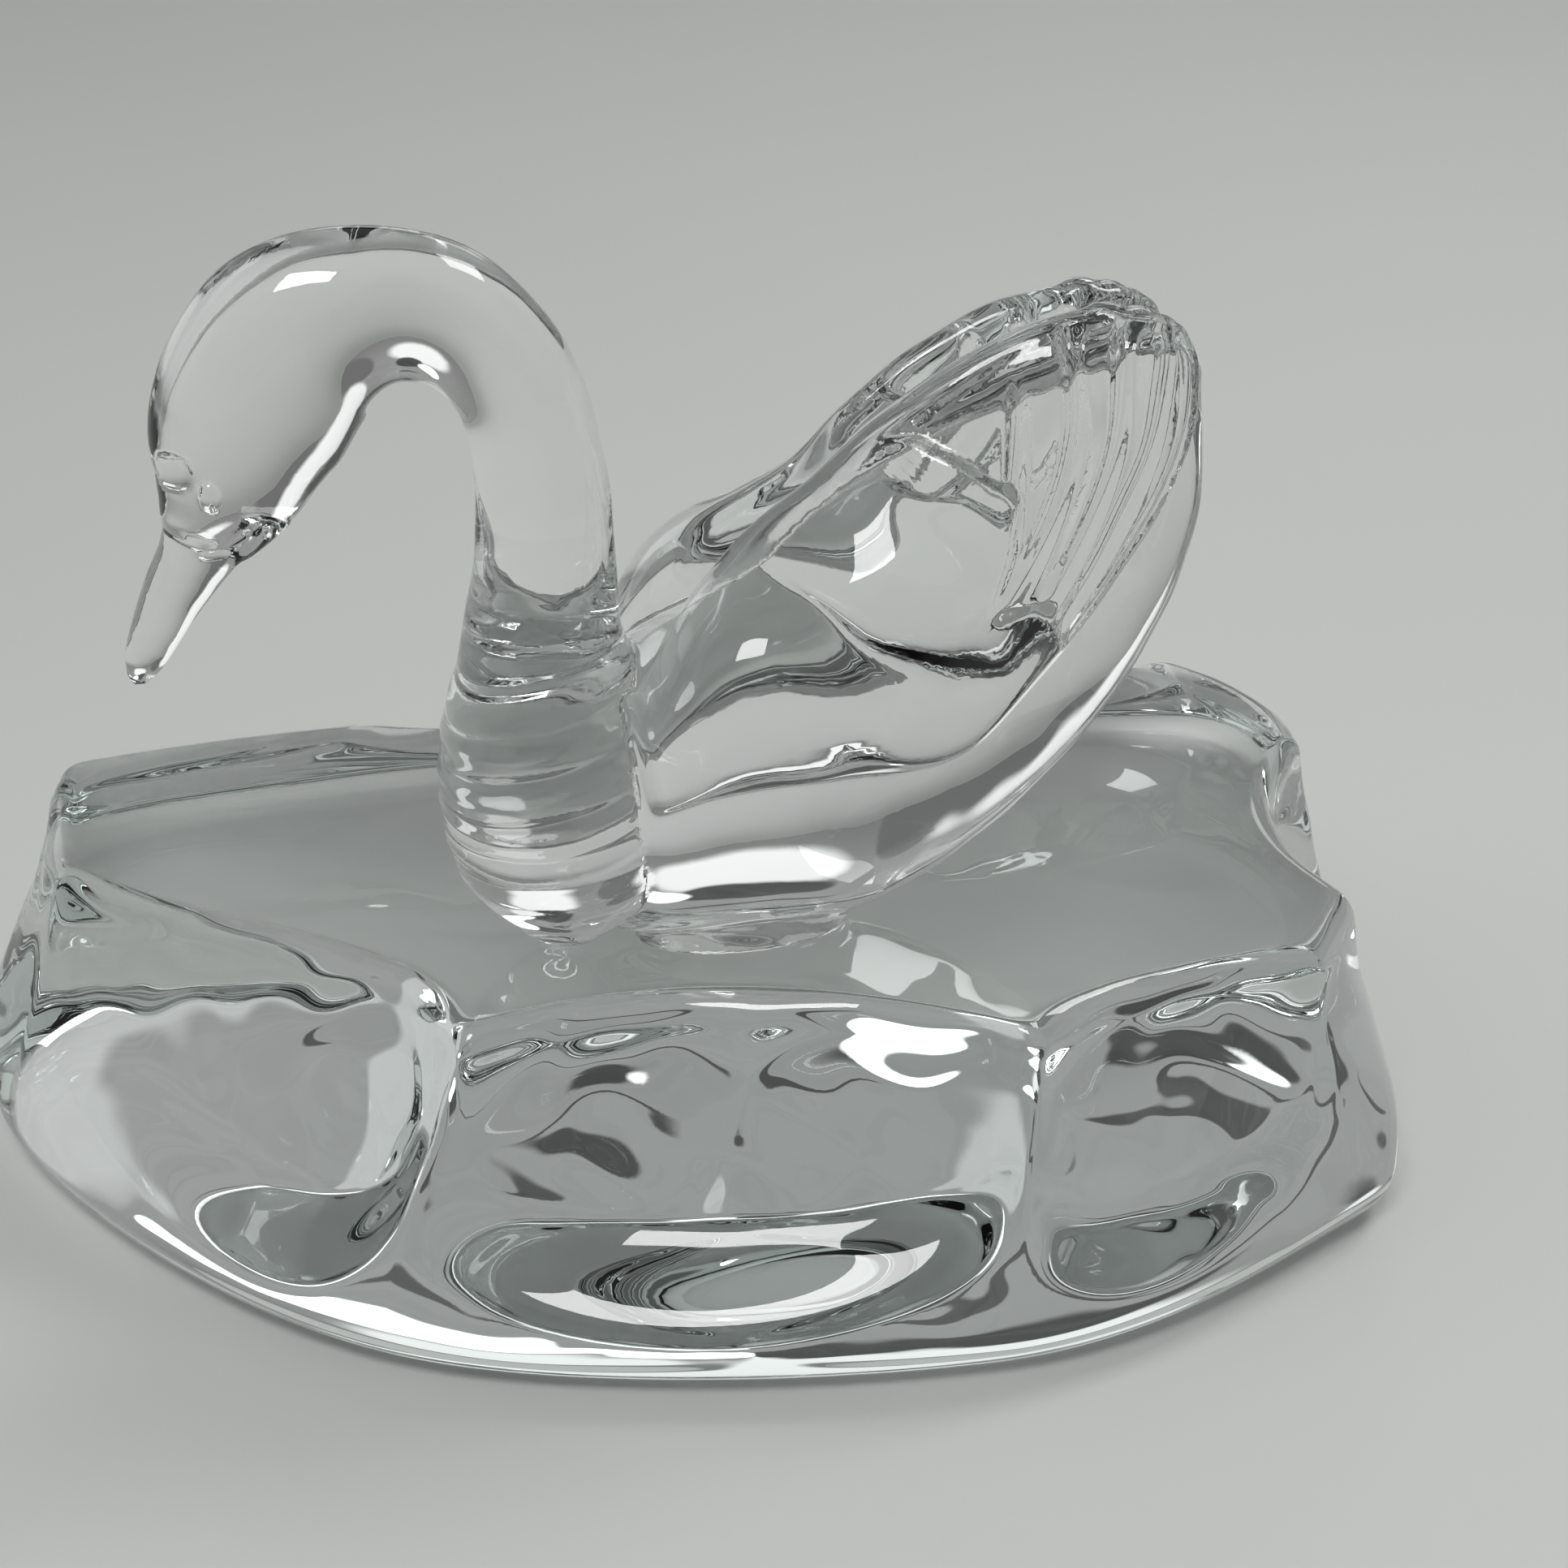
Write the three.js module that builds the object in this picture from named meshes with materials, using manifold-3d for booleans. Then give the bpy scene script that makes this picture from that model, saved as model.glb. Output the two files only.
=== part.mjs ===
// A clear crystal swan bonded on a thick crystal block that is shaped like a slab of ice.
// Millimetres, +Z up. The origin is the centre of the block's underside, +X runs towards the swan's tail and
// -Y faces the viewer. The block is one solid and the swan is the other.
import * as THREE from "three";
import { mergeVertices } from "three/addons/utils/BufferGeometryUtils.js";
import Module from "manifold-3d";

const wasm = await Module();
wasm.setup();

// The block of ice, in millimetres.
const BASE_LENGTH = 150;
const BASE_DEPTH = 102;
const BASE_THICKNESS = 34;
const SCOOP_DEPTH = 6.5; // how far the deepest scoop hollows the side
const FOOT_ROUND = 6; // radius of the rounded foot
const TOP_ROUND = 3; // radius of the top edge
const RIDGE_ROUND = 1.8; // how far the rounding of an upright ridge reaches to each side
const SCOOP_RISE = 9; // height over which a scoop reaches its full depth, counted from the rounded foot
const SCOOP_END = 8; // how much higher the rounded end of a scoop starts beside its ridges

// The swan, in millimetres and degrees.
const SWAN_HEIGHT = 71;
const SWAN_X = 7;
const SWAN_Y = -20;
const SWAN_TURN = 13;
const SWAN_FOOT_LENGTH = 21;
const SWAN_FOOT_WIDTH = 11;
const SWAN_FOOT_HEIGHT = 3;
const BOND_GAP = 0.3; // the clear film between the swan's foot and the block
const EYE_DIAMETER = 2.6;
const EYE_SHARES = [-66.3, 7.2, 70.4]; // along, out from the middle and up, in hundredths of the height

// How finely each skin is divided.
const NECK_RINGS = 46;
const NECK_SIDES = 16;
const HULL_RINGS = 20;
const HULL_SIDES = 22;
const WING_RINGS = 28;
const BLOCK_STEPS = 7;
const CROWN_COLUMNS = 3; // columns of a wing between its last groove and its upper edge
const COLUMNS_SETTLE = 1.2; // ribs over which the columns gather from even steps to the grooves
const INNER_SHARES = [0.8, 0.6, 0.4, 0.2]; // columns on the inner face of a wing
const LAST_LINE = 0.94; // no groove's column lies nearer to the upper edge than this share of the way
const LINE_SPACE = 0.06; // and each earlier one stays at least this share below the next
const SHOULDER_SHARE = 0.4; // a groove's shoulder takes at most this share of the way to the next groove

// Corners of the block, anticlockwise from the front left one: the ridge's place at the foot and at the top, as
// shares of the half length and half depth, how deep the side that follows is scooped, as a share of the scoop
// depth, and how far along that side the scoop is deepest. A scoop below nought is a bulge.
const CORNERS = [
  { foot: [-0.36, -0.935], top: [-0.265, -0.814], scoop: 1, deepest: 0.48 },
  { foot: [0.44, -0.947], top: [0.468, -0.808], scoop: 0.43, deepest: 0.36 },
  { foot: [0.91, -0.52], top: [0.845, -0.494], scoop: -0.1, deepest: 0.5 },
  { foot: [1, -0.255], top: [0.915, -0.245], scoop: 0.82, deepest: 0.5 },
  { foot: [0.99, 0.45], top: [0.925, 0.47], scoop: -0.45, deepest: 0.5 },
  { foot: [0.815, 0.99], top: [0.767, 0.902], scoop: 0.78, deepest: 0.5 },
  { foot: [0.09, 0.845], top: [0.08, 0.716], scoop: 0.6, deepest: 0.5 },
  { foot: [-0.56, 0.676], top: [-0.52, 0.549], scoop: -0.12, deepest: 0.5 },
  { foot: [-0.985, 0.37], top: [-0.93, 0.34], scoop: -0.16, deepest: 0.5 },
  { foot: [-0.94, -0.255], top: [-0.86, -0.167], scoop: 0.75, deepest: 0.74 },
];

// Neck, from the tip of the beak over the head and the arch down to the breast, in hundredths of the swan's
// height: place along and up, then half the thickness in the plane of the neck and half the width across it.
const NECK = [
  [-77, 44.4, 1.4, 1.5],
  [-75.6, 47.6, 2.8, 3.3],
  [-71.7, 55.2, 4.1, 4.2],
  [-67.8, 61.4, 5.4, 5.2],
  [-64.2, 68.2, 8.9, 7.6],
  [-60.8, 77, 11.9, 9],
  [-54.4, 86.6, 12.1, 9],
  [-44.6, 90.2, 9.6, 8.6],
  [-35.2, 87.9, 8.4, 8.5],
  [-28.2, 79.6, 7.8, 8.5],
  [-25.5, 68.5, 8.1, 8.6],
  [-25.2, 56.6, 8.8, 8.9],
  [-25.9, 45.5, 10.2, 11],
  [-25.2, 34, 14, 16.3],
  [-24.4, 22.5, 15.4, 18.6],
  [-24.6, 12, 13.3, 16.3],
  [-25, 4.5, 6.4, 9.4],
];

// Body, from the breast back to the tail, in hundredths of the height: the keel's place along and up, the
// back's place along and up, and half the width between them.
const HULL = [
  [-22.5, 4.2, -22.5, 33.8, 12.7],
  [-14, 0.9, -13, 43, 18],
  [0, 0.6, 0, 49, 20.5],
  [15.5, 1, 11.3, 57.7, 20],
  [30, 8, 19.5, 64, 16.8],
  [44.4, 20, 29.6, 69.7, 12.7],
  [55.5, 35, 40, 74, 9],
  [62.3, 53.5, 49.3, 77.5, 6.8],
  [61.4, 74.6, 58.5, 78.9, 3.7],
];

// One wing, from the shoulder back to the tip, in hundredths of the height: its lower edge and its upper edge,
// each a place along, out from the middle and up, then how far the outer face bulges and half the thickness.
const WING = [
  { low: [-13.4, 16.6, 25.8], high: [-15.5, 9.9, 40.8], bulge: 3, half: 4.2 },
  { low: [-7, 19.8, 29.5], high: [-10.6, 8.5, 49], bulge: 5.2, half: 5 },
  { low: [8, 20.8, 31], high: [-4.5, 6.5, 56], bulge: 6.6, half: 5 },
  { low: [24, 19.2, 31], high: [2.1, 4, 61], bulge: 7, half: 4.8 },
  { low: [37, 14.8, 40], high: [8.1, 3.6, 65], bulge: 6.4, half: 4.6 },
  { low: [48.6, 11.3, 52.4], high: [14.8, 4.2, 71.6], bulge: 5, half: 4.2 },
  { low: [56.8, 8.4, 64.8], high: [24, 5.2, 78.3], bulge: 3.8, half: 4 },
  { low: [58.8, 6.8, 76.3], high: [34.5, 5.6, 83.5], bulge: 2.8, half: 3.6 },
  { low: [57.2, 5.8, 81.6], high: [43.6, 5.1, 85.4], bulge: 1.8, half: 2.8 },
];
const HULL_FULLNESS = 0.85; // 1 makes the body's sections ellipses, and less makes them fuller
const HULL_WIDEST = 0.62; // where a section of the body is widest, as a share of the way up from the keel
const EDGE_POWER = 2.2; // 2 makes a wing's ribs ellipses, and more keeps them thick up to their rounded edges
const COVERT_STEP_SHARE = 1.4; // how far the feathers lie under the smooth covert, in hundredths of the height
const GROOVE_HALF_SHARE = 1.8; // half the width of a groove between feathers, in hundredths of the height
const GROOVE_DEPTH_SHARE = 1.2; // its depth, in hundredths of the height
const TIP_REACH_SHARE = 2; // how far the rounded tip of a wing reaches past its last rib, in hundredths
const TIP_NOTCH_SHARE = 0.35; // depth of a notch between two feather ends, in hundredths of the height
const SHOULDER_REACH_SHARE = 3; // how far a wing's rounded front reaches ahead of its first rib, in hundredths
const TIP_WAY = [0.27, 0, 0.96]; // the way in which the tip points
const SHOULDER_WAY = [-0.79, -0.4, -0.46]; // the way in which the front of a wing points
const END_TURNS = [30, 55, 76]; // degrees of the quarter round at which a wing's end has its rings
const END_ARCH = 0.5; // power that makes the reach of a wing's end fall off to its two edges
const END_LENGTH_LEFT = 0.9; // how much of the end rib's length is left where the round ends
// The smooth covert ends in a stepped line: the station at which it ends, for each tenth of the way from the
// wing's lower edge to its upper edge.
const COVERT_LINE = [4.28, 4.42, 4.45, 4.2, 4.7, 5.18, 5.22, 5.27, 5.26, 5.2, 4.7];
const FEATHERS_FROM = 4.1; // the station at which the first groove starts
const STEP_SOFT = 0.15; // how far the step at the covert's end is spread to each side, in stations
const STEP_END = 0.12; // share of the rib over which the step runs out towards the upper edge
const GROOVE_FADE = 0.4; // stations over which a groove fades out
// Each groove between two feathers: its share of the way from the lower edge to the upper edge where it leaves
// the covert, half way and at the tip, and the station at which it fades out.
const GROOVES = [
  { shares: [0.02, 0.045, 0.1], until: 9 },
  { shares: [0.075, 0.19, 0.29], until: 9 },
  { shares: [0.15, 0.33, 0.635], until: 9 },
  { shares: [0.27, 0.495, 1.02], until: 7.7 },
  { shares: [0.32, 0.72, 1.25], until: 6.4 },
];

const share = SWAN_HEIGHT / 100;

// Smooth curve through rows of numbers: row t of the way from the first row to the last.
function along(rows, t) {
  const last = rows.length - 1;
  const place = THREE.MathUtils.clamp(t, 0, 1) * last;
  const i = Math.min(Math.floor(place), last - 1);
  const before = rows[Math.max(i - 1, 0)];
  const after = rows[Math.min(i + 2, last)];
  const f = place - i;
  return rows[i].map((value, k) => {
    const startSlope = (rows[i + 1][k] - before[k]) / 2;
    const endSlope = (after[k] - value) / 2;
    const rise = rows[i + 1][k] - value;
    return value + f * (startSlope + f * (3 * rise - 2 * startSlope - endSlope
      + f * (startSlope + endSlope - 2 * rise)));
  });
}

// Closed skin over a row of rings with the same number of points each. Each end closes on a point.
function skin(rings, start, end) {
  const sides = rings[0].length;
  const points = [start, ...rings.flat(), end];
  const faces = [];
  const at = (ring, side) => 1 + ring * sides + (side % sides);
  for (let s = 0; s < sides; s += 1) {
    faces.push([0, at(0, s + 1), at(0, s)]);
    faces.push([points.length - 1, at(rings.length - 1, s), at(rings.length - 1, s + 1)]);
    for (let r = 0; r < rings.length - 1; r += 1) {
      faces.push([at(r, s), at(r, s + 1), at(r + 1, s + 1)]);
      faces.push([at(r, s), at(r + 1, s + 1), at(r + 1, s)]);
    }
  }
  const geometry = new THREE.BufferGeometry();
  geometry.setAttribute("position", new THREE.Float32BufferAttribute(points.flat(), 3));
  geometry.setIndex(volume(points, faces) < 0 ? faces.flatMap(([a, b, c]) => [a, c, b]) : faces.flat());
  return geometry;
}

function volume(points, faces) {
  const [a, b, c] = [new THREE.Vector3(), new THREE.Vector3(), new THREE.Vector3()];
  return faces.reduce((sum, face) => {
    a.fromArray(points[face[0]]);
    b.fromArray(points[face[1]]);
    c.fromArray(points[face[2]]);
    return sum + a.dot(b.cross(c)) / 6;
  }, 0);
}

function solid(geometry) {
  const bare = geometry.clone();
  bare.deleteAttribute("normal");
  bare.deleteAttribute("uv");
  const merged = mergeVertices(bare);
  const vertProperties = new Float32Array(merged.attributes.position.array);
  const triVerts = new Uint32Array(merged.index.array);
  return new wasm.Manifold(new wasm.Mesh({ numProp: 3, vertProperties, triVerts }));
}

function shell(body) {
  const mesh = body.getMesh();
  const geometry = new THREE.BufferGeometry();
  geometry.setAttribute("position", new THREE.Float32BufferAttribute(mesh.vertProperties, 3));
  geometry.setIndex(Array.from(mesh.triVerts));
  geometry.computeVertexNormals();
  return geometry;
}

// The neck is a ring of ellipses set square to its curve, which stays in the swan's middle plane.
function neck() {
  const rings = [];
  for (let r = 0; r <= NECK_RINGS; r += 1) {
    const t = r / NECK_RINGS;
    const [x, z, deep, wide] = along(NECK, t);
    const ahead = along(NECK, t + 0.004);
    const behind = along(NECK, t - 0.004);
    const way = new THREE.Vector2(ahead[0] - behind[0], ahead[1] - behind[1]).normalize();
    rings.push(Array.from({ length: NECK_SIDES }, (_, s) => {
      const turn = (2 * Math.PI * s) / NECK_SIDES;
      const out = deep * Math.cos(turn);
      return [x - way.y * out, wide * Math.sin(turn), z + way.x * out].map((v) => v * share);
    }));
  }
  const [tip, root] = [NECK[0], NECK.at(-1)];
  const beakEnd = [tip[0] - 0.5, 0, tip[1] - 1].map((v) => v * share);
  const breastEnd = [root[0] + 0.6, 0, root[1] - 3].map((v) => v * share);
  return solid(skin(rings, beakEnd, breastEnd));
}

// The body's sections lean from the keel to the back. They are a little fuller than ellipses, and widest above
// their middle, so that the sides draw in towards the keel.
function hull() {
  const rings = [];
  const draw = Math.log(HULL_WIDEST) / Math.log(0.5);
  for (let r = 0; r <= HULL_RINGS; r += 1) {
    const [xk, zk, xb, zb, wide] = along(HULL, r / HULL_RINGS);
    rings.push(Array.from({ length: HULL_SIDES }, (_, s) => {
      const turn = (2 * Math.PI * s) / HULL_SIDES;
      const up = ((1 - Math.cos(turn)) / 2) ** draw;
      const out = wide * Math.sign(Math.sin(turn)) * Math.abs(Math.sin(turn)) ** HULL_FULLNESS;
      return [xk + (xb - xk) * up, out, zk + (zb - zk) * up].map((v) => v * share);
    }));
  }
  const middle = (row) => [(row[0] + row[2]) / 2, 0, (row[1] + row[3]) / 2].map((v) => v * share);
  return solid(skin(rings, middle(HULL[0]), middle(HULL.at(-1))));
}

// Where each groove crosses the rib at a station, as a share of the way up the rib.
function grooveLines(station) {
  const spread = (station - FEATHERS_FROM) / (WING.length - 1 - FEATHERS_FROM);
  return GROOVES.map(({ shares }) => along(shares.map((value) => [value]), spread)[0]);
}

// Depth of the nearest groove between feathers, as a share of the full depth: a parabola across the groove.
function groove(station, q, length) {
  const depths = grooveLines(station).map((line, i) => {
    const off = (Math.abs(q - line) * length) / GROOVE_HALF_SHARE;
    const until = GROOVES[i].until;
    return Math.max(0, 1 - off * off) * (1 - THREE.MathUtils.smoothstep(station, until - GROOVE_FADE, until));
  });
  return Math.max(...depths);
}

// Columns across a wing: the two shoulders and the bottom of each groove, the middle of each feather, and even
// steps up to the upper edge. On the covert, ahead of the grooves, the columns spread out evenly.
function columns(station, length) {
  const count = GROOVES.length;
  const settled = THREE.MathUtils.smoothstep(station, FEATHERS_FROM - COLUMNS_SETTLE, FEATHERS_FROM);
  const lines = grooveLines(station).map((line, i) => {
    const even = (i + 1) / (count + 1);
    return Math.min(even + (line - even) * settled, LAST_LINE - LINE_SPACE * (count - 1 - i));
  });
  const half = GROOVE_HALF_SHARE / length;
  const result = [0];
  lines.forEach((line, i) => {
    const before = i ? lines[i - 1] : 0;
    const after = i < count - 1 ? lines[i + 1] : 1;
    const below = Math.min(half, (line - before) * SHOULDER_SHARE);
    const above = Math.min(half, (after - line) * SHOULDER_SHARE);
    result.push(line - below, line, line + above);
    if (i < count - 1) result.push((line + after) / 2);
  });
  const crown = result.at(-1);
  for (let k = 1; k <= CROWN_COLUMNS; k += 1) result.push(crown + ((1 - crown) * k) / (CROWN_COLUMNS + 1));
  return [...result, 1];
}

// One rib of a wing, t of the way from the shoulder to the tip: points out along the bulging face and back along
// the inner one, each with the place beside it on the rib's middle line, the depth of the groove there and the
// share of an end's reach that the place has.
function rib(t) {
  const rows = WING.map(({ low, high, bulge, half }) => [...low, ...high, bulge, half]);
  const station = t * (WING.length - 1);
  const row = along(rows, t);
  const low = new THREE.Vector3(...row.slice(0, 3));
  const high = new THREE.Vector3(...row.slice(3, 6));
  const [bulge, half] = row.slice(6);
  const chord = high.clone().sub(low);
  const length = chord.length();
  const out = new THREE.Vector3(0, 1, 0).projectOnPlane(chord.normalize()).normalize();
  const shape = (q) => (1 - Math.abs(2 * q - 1) ** EDGE_POWER) ** (1 / EDGE_POWER);
  const at = (q, offset, cut) => {
    const line = low.clone().lerp(high, q);
    return { point: line.clone().addScaledVector(out, offset), line, cut, arch: (4 * q * (1 - q)) ** END_ARCH };
  };
  const outer = columns(station, length).map((q) => {
    const past = station - along(COVERT_LINE.map((value) => [value]), q)[0];
    const fluted = THREE.MathUtils.smoothstep(past, -STEP_SOFT, STEP_SOFT);
    const cut = fluted * groove(station, q, length);
    const step = COVERT_STEP_SHARE * fluted * THREE.MathUtils.smoothstep(1 - q, 0, STEP_END);
    const relief = step * shape(q) + GROOVE_DEPTH_SHARE * cut * Math.min(1, 2 * shape(q));
    return at(q, bulge * 4 * q * (1 - q) + half * shape(q) - relief, cut);
  });
  return [...outer, ...INNER_SHARES.map((q) => at(q, -half * shape(q), 0))];
}

// The end of a wing closes in a quarter round: the rib shrinks towards its middle line as it moves on, furthest
// in its middle and less far in the grooves.
function roundedEnd(points, onward, reach, notch) {
  const middle = points[Math.floor(points.length / 3)].line;
  return END_TURNS.map(THREE.MathUtils.degToRad).map((turn) => points.map(({ point, line, cut, arch }) => {
    const core = middle.clone().lerp(line, END_LENGTH_LEFT);
    const forward = arch * (reach - notch * cut) * Math.sin(turn);
    return core.lerp(point, Math.cos(turn)).addScaledVector(onward, forward);
  }));
}

// A wing is a curved blade: its ribs follow each other from the shoulder to the tip. side is 1 or -1.
function wing(side) {
  const ribs = Array.from({ length: WING_RINGS + 1 }, (_, r) => rib(r / WING_RINGS));
  const front = roundedEnd(ribs[0], new THREE.Vector3(...SHOULDER_WAY), SHOULDER_REACH_SHARE, 0).reverse();
  const tip = roundedEnd(ribs.at(-1), new THREE.Vector3(...TIP_WAY), TIP_REACH_SHARE, TIP_NOTCH_SHARE);
  const rings = [...front, ...ribs.map((points) => points.map(({ point }) => point)), ...tip];
  const place = (point) => [point.x * share, side * point.y * share, point.z * share];
  const centre = (ring) => {
    const sum = ring.reduce((total, point) => total.add(point), new THREE.Vector3());
    return place(sum.divideScalar(ring.length));
  };
  return solid(skin(rings.map((ring) => ring.map(place)), centre(rings[0]), centre(rings.at(-1))));
}

// A short oval foot joins the body to the block. Its top is buried in the body.
function foot() {
  const geometry = new THREE.CylinderGeometry(0.5, 0.5, SWAN_FOOT_HEIGHT, 28);
  geometry.rotateX(Math.PI / 2).scale(SWAN_FOOT_LENGTH, SWAN_FOOT_WIDTH, 1);
  geometry.translate(0, 0, SWAN_FOOT_HEIGHT / 2);
  return solid(geometry);
}

function eye(side) {
  const geometry = new THREE.IcosahedronGeometry(EYE_DIAMETER / 2, 1);
  const [ahead, out, up] = EYE_SHARES;
  geometry.translate(ahead * share, side * out * share, up * share);
  return solid(geometry);
}

function swan() {
  return [neck(), wing(1), wing(-1), foot(), eye(1), eye(-1)].reduce((body, piece) => body.add(piece), hull());
}

// Place f of the way from corner i of the block to the next: on the foot, on the straight line between the two
// ridges at the top, and how far the scoop pulls the side in there, all in shares.
function side(i, f) {
  const corner = (k) => CORNERS[(i + k + CORNERS.length) % CORNERS.length];
  const foot = along([-1, 0, 1, 2].map((k) => corner(k).foot), (1 + f) / 3);
  const top = corner(0).top.map((value, axis) => value + (corner(1).top[axis] - value) * f);
  const even = f ** (Math.log(0.5) / Math.log(corner(0).deepest));
  const mid = 4 * even * (1 - even);
  return { foot, top, mid, depth: corner(0).scoop * mid };
}

// Columns along one side: the ridge, the two ends of its rounding, and even steps between them.
function stepsAlong(i) {
  const [from, to] = [CORNERS[i].top, CORNERS[(i + 1) % CORNERS.length].top];
  const length = Math.hypot(((to[0] - from[0]) * BASE_LENGTH) / 2, ((to[1] - from[1]) * BASE_DEPTH) / 2);
  const round = Math.min(RIDGE_ROUND / length, 0.2);
  const step = (1 - 2 * round) / (BLOCK_STEPS - 2);
  return [0, ...Array.from({ length: BLOCK_STEPS - 1 }, (_, k) => round + step * k)];
}

// The block: a rounded foot, a wall scooped between its ridges, a rounded edge and a flat top. The foot fills
// the block's length and depth exactly.
function block() {
  const points = CORNERS.flatMap((_, i) => stepsAlong(i).map((f) => side(i, f)));
  const round = points.length;
  const fit = [BASE_LENGTH, BASE_DEPTH].map((size, axis) => {
    const values = points.map((p) => p.foot[axis]);
    const [least, most] = [Math.min(...values), Math.max(...values)];
    return (value) => ((value - (least + most) / 2) * size) / (most - least);
  });
  const place = (shares) => new THREE.Vector2(fit[0](shares[0]), fit[1](shares[1]));
  const feet = points.map((p) => place(p.foot));
  const tops = points.map((p) => place(p.top));
  const inward = tops.map((_, c) => {
    const first = c - (c % BLOCK_STEPS);
    const from = tops[first];
    const to = tops[(first + BLOCK_STEPS) % round];
    return new THREE.Vector2(from.y - to.y, to.x - from.x).normalize();
  });
  const ring = (z, inset) => {
    const lean = THREE.MathUtils.smoothstep(z, FOOT_ROUND, BASE_THICKNESS);
    const bare = points.map(({ mid, depth }, c) => {
      const start = FOOT_ROUND + SCOOP_END * (1 - mid);
      const scoop = THREE.MathUtils.smoothstep(z, start, start + SCOOP_RISE);
      return feet[c].clone().lerp(tops[c], lean).addScaledVector(inward[c], depth * SCOOP_DEPTH * scoop);
    });
    return bare.map((point, c) => {
      const beside = bare[(c + round - 1) % round].clone().add(bare[(c + 1) % round]).multiplyScalar(0.5);
      const soft = c % BLOCK_STEPS ? point : point.clone().lerp(beside, lean / 2);
      const inner = soft.multiplyScalar(1 - inset / soft.length());
      return [inner.x, inner.y, z];
    });
  };
  const quarter = [0, 0.3, 0.6, 0.8, 1].map((f) => (f * Math.PI) / 2);
  const wallTop = BASE_THICKNESS - TOP_ROUND;
  const levels = [0.1, 0.22, 0.34, 0.48, 0.64, 0.82];
  const rings = [
    ...quarter.map((a) => ring(FOOT_ROUND * (1 - Math.cos(a)), FOOT_ROUND * (1 - Math.sin(a)))),
    ...levels.map((level) => ring(FOOT_ROUND + (wallTop - FOOT_ROUND) * level, 0)),
    ...quarter.map((a) => ring(wallTop + TOP_ROUND * Math.sin(a), TOP_ROUND * (1 - Math.cos(a)))),
  ];
  return skin(rings, [0, 0, 0], [0, 0, BASE_THICKNESS]);
}

function crystal(name, geometry, color) {
  const material = new THREE.MeshStandardMaterial({ color, roughness: 0.02, metalness: 0 });
  material.transparent = true;
  material.opacity = 0.35;
  const mesh = new THREE.Mesh(geometry, material);
  mesh.name = name;
  return mesh;
}

const baseMesh = crystal("ice_base", block(), 0xdfe6e4);
const swanMesh = crystal("swan", shell(swan()), 0xe8eceb);
swanMesh.position.set(SWAN_X, SWAN_Y, BASE_THICKNESS + BOND_GAP);
swanMesh.rotation.z = THREE.MathUtils.degToRad(SWAN_TURN);

const figurine = new THREE.Group();
figurine.add(baseMesh, swanMesh);

export default figurine;
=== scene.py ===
# %% [markdown]
# # A crystal swan on a block of ice
# The object is a paperweight of clear crystal in two pieces: a swan with an arched neck and raised wings, and
# the thick block, ground and scooped like a slab of ice, on which it is bonded. Everything here is glass, so
# the look comes from three things: smooth surfaces without facets, a material that really bends light, and a
# stage with enough light and dark around it for the glass to have something to show.

import bpy
import numpy as np
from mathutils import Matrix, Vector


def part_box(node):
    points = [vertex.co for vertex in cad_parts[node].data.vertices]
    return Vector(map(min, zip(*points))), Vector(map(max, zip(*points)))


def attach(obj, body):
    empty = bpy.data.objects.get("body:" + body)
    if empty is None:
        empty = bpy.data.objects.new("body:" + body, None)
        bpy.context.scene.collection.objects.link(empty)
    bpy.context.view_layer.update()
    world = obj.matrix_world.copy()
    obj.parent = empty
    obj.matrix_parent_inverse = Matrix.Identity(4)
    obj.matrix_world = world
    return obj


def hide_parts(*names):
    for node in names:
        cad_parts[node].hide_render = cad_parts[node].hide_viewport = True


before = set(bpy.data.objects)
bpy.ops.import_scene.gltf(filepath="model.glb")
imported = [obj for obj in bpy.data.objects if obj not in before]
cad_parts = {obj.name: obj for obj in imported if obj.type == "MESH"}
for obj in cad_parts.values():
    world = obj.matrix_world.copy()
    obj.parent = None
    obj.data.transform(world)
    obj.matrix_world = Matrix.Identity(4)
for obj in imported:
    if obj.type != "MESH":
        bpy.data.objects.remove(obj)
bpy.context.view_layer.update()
base_low, base_high = (np.array(corner) * 1000 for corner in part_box("ice_base"))
swan_low, swan_high = (np.array(corner) * 1000 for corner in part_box("swan"))
print("base in mm", base_high - base_low, "swan in mm", swan_high - swan_low)

# %% [markdown]
# ## Working size and helpers
# The shapes are worked out in millimetres, because a figurine's makers think in them, and are turned into
# Blender's metres only when a mesh is written. Each surface is a grid of rings: a ring is a closed line round
# the shape, and the next ring lies a little further along. A smooth curve through a few rows of numbers gives
# the rings between them, so a swan's neck needs only a handful of rows.

# %% Curves through rows of numbers
MM = 0.001


def along(rows, t):
    """Rows between the given ones: a cubic through each row whose slope is half the step from the row before
    to the row after. t runs from 0 at the first row to 1 at the last and may be an array."""
    rows = np.asarray(rows, float)
    last = len(rows) - 1
    place = np.clip(np.atleast_1d(t), 0, 1) * last
    i = np.minimum(place.astype(int), last - 1)
    f = (place - i)[:, None]
    here, there = rows[i], rows[i + 1]
    start = (there - rows[np.maximum(i - 1, 0)]) / 2
    end = (rows[np.minimum(i + 2, last)] - here) / 2
    rise = there - here
    return here + f * (start + f * (3 * rise - 2 * start - end + f * (start + end - 2 * rise)))


def smoothstep(value, low, high):
    """0 below low, 1 above high, and 3x^2 - 2x^3 between them."""
    x = np.clip((np.asarray(value, float) - low) / (high - low), 0, 1)
    return x * x * (3 - 2 * x)


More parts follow.
